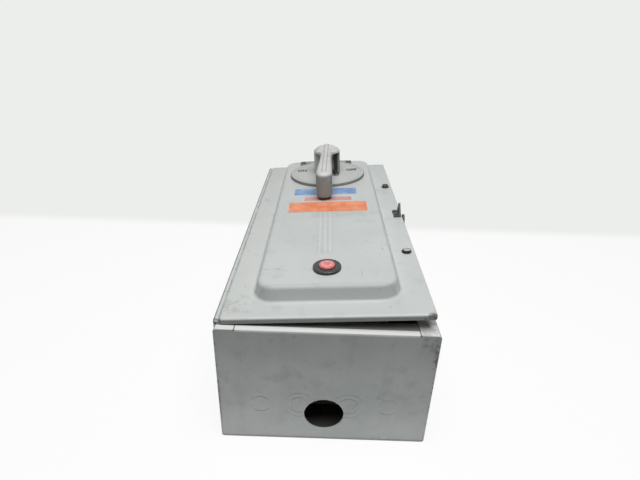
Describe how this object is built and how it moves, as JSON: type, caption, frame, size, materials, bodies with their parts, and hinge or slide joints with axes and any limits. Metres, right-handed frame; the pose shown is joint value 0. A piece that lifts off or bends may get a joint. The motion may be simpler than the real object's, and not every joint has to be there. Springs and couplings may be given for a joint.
{
  "type": "ac disconnect box",
  "caption": "Surface-mounted sheet-steel disconnect box with a hinged cover, rotary lever handle, reset button, fused switch, contactor and overload relay.",
  "frame": {"origin": "centre of the back face, on the surface that the box lies on or is screwed to", "axes": "+X across the cover to the free edge, +Y along the box to the upper end, +Z out of the cover"},
  "size_m": [0.2313, 0.52, 0.2356],
  "materials": {
    "box_paint": "grey enamel, worn",
    "cover_paint": "light grey enamel, satin",
    "handle_paint": "cast, grey enamel",
    "zinc_steel": "zinc plated",
    "dark_steel": "dull, oxidised",
    "black_steel": "black oxide",
    "black_plastic": "moulded",
    "red_plastic": "moulded",
    "phenolic": "moulded phenolic",
    "cover_phenolic": "moulded phenolic",
    "panel_paint": "white enamel",
    "copper": "bare copper",
    "brass": "turned",
    "fuse_fibre": "vulcanised fibre",
    "lamination": "stacked laminations",
    "coil_tape": "varnished tape",
    "carrier_resin": "moulded resin",
    "orange_print": "printed film",
    "blue_print": "printed film",
    "red_print": "printed film",
    "plate_metal": "etched plate"
  },
  "bodies": {
    "box": {"box_wrapper": "box_paint", "lower_end_wall": "box_paint", "upper_end_wall": "box_paint", "hinge_box_leaf": "box_paint", "hinge_pin": "zinc_steel", "weld_nuts": "zinc_steel", "hasp_staple": "black_steel", "mounting_panel": "panel_paint", "panel_standoffs": "zinc_steel", "panel_screws": "zinc_steel", "ground_lug": "zinc_steel", "switch_decks": "phenolic", "switch_posts": "zinc_steel", "line_jaws": "copper", "load_jaws": "copper", "switch_lugs": "zinc_steel", "fuse_block": "phenolic", "fuse_clips": "copper", "fuse_tubes": "fuse_fibre", "fuse_caps": "brass", "contactor_base": "phenolic", "magnet_core": "lamination", "magnet_coil": "coil_tape", "fixed_contacts": "copper", "contactor_terminals": "zinc_steel", "arc_cover": "cover_phenolic", "relay_base": "phenolic", "heater_elements": "zinc_steel", "relay_straps": "copper", "relay_terminals": "zinc_steel"},
    "lid": {"lid_cover": "cover_paint", "hinge_lid_leaf": "cover_paint", "hasp_ear": "black_steel", "dial_plate": "cover_paint", "dial_nuts": "zinc_steel", "shaft_bushing": "brass", "bushing_nut": "zinc_steel", "button_bezel": "black_plastic", "button_nut": "zinc_steel", "button_spring": "zinc_steel", "screw_washers": "zinc_steel", "name_plate": "plate_metal", "orange_field": "orange_print", "blue_field": "blue_print", "red_field": "red_print"},
    "handle": {"handle_grip": "handle_paint", "handle_shaft": "zinc_steel"},
    "lock_tab": {"lock_tab": "zinc_steel"},
    "rotor": {"rotor_shaft": "phenolic", "rotor_blades": "copper", "drive_collar": "zinc_steel"},
    "reset_button": {"reset_cap": "red_plastic", "reset_stem": "zinc_steel"},
    "relay_plunger": {"relay_plunger": "red_plastic"},
    "armature": {"armature": "lamination", "contact_carrier": "carrier_resin", "contact_bridges": "copper"},
    "cover_screw_lower": {"cover_screw_lower": "dark_steel"},
    "cover_screw_upper": {"cover_screw_upper": "dark_steel"}
  },
  "joints": [
    {"name": "lid_hinge", "type": "hinge", "parent": "box", "child": "lid", "pos_m": [-0.1135, 0, 0.1534], "axis": [0, -1, 0], "range_deg": [-3.7, 136]},
    {"name": "handle_turn", "type": "hinge", "parent": "lid", "child": "handle", "pos_m": [-0.00189, 0.143, 0.18627], "axis": [-0.0645, 0, 0.9979], "range_deg": [-87.9, 2.1]},
    {"name": "lock_tab_slide", "type": "slide", "parent": "handle", "child": "lock_tab", "axis": [0.6793, -0.7325, 0.0439], "range_m": [0, 0.008]},
    {"name": "rotor_turn", "type": "hinge", "parent": "box", "child": "rotor", "pos_m": [0, 0.143, 0.1], "axis": [0, 0, 1], "range_deg": [-87.9, 2.1]},
    {"name": "button_press", "type": "slide", "parent": "lid", "child": "reset_button", "axis": [0.0645, 0, -0.9979], "range_m": [0, 0.004], "stiffness_N_per_m": 500, "deforming": ["button_spring"]},
    {"name": "plunger_press", "type": "slide", "parent": "box", "child": "relay_plunger", "axis": [0, 0, -1], "range_m": [0, 0.004], "stiffness_N_per_m": 300},
    {"name": "armature_pull", "type": "slide", "parent": "box", "child": "armature", "axis": [0, 0, -1], "range_m": [0, 0.005], "stiffness_N_per_m": 2000, "springref_m": -0.004},
    {"name": "screw_lower_drive", "type": "slide", "parent": "lid", "child": "cover_screw_lower", "axis": [-0.0645, 0, 0.9979], "range_m": [0, 0.005]},
    {"name": "screw_upper_drive", "type": "slide", "parent": "lid", "child": "cover_screw_upper", "axis": [-0.0645, 0, 0.9979], "range_m": [0, 0.005]}
  ],
  "couplings": [
    {"joint": "rotor_turn", "follows": "handle_turn", "ratio": 1},
    {"joint": "plunger_press", "follows": "button_press", "ratio": 1}
  ]
}
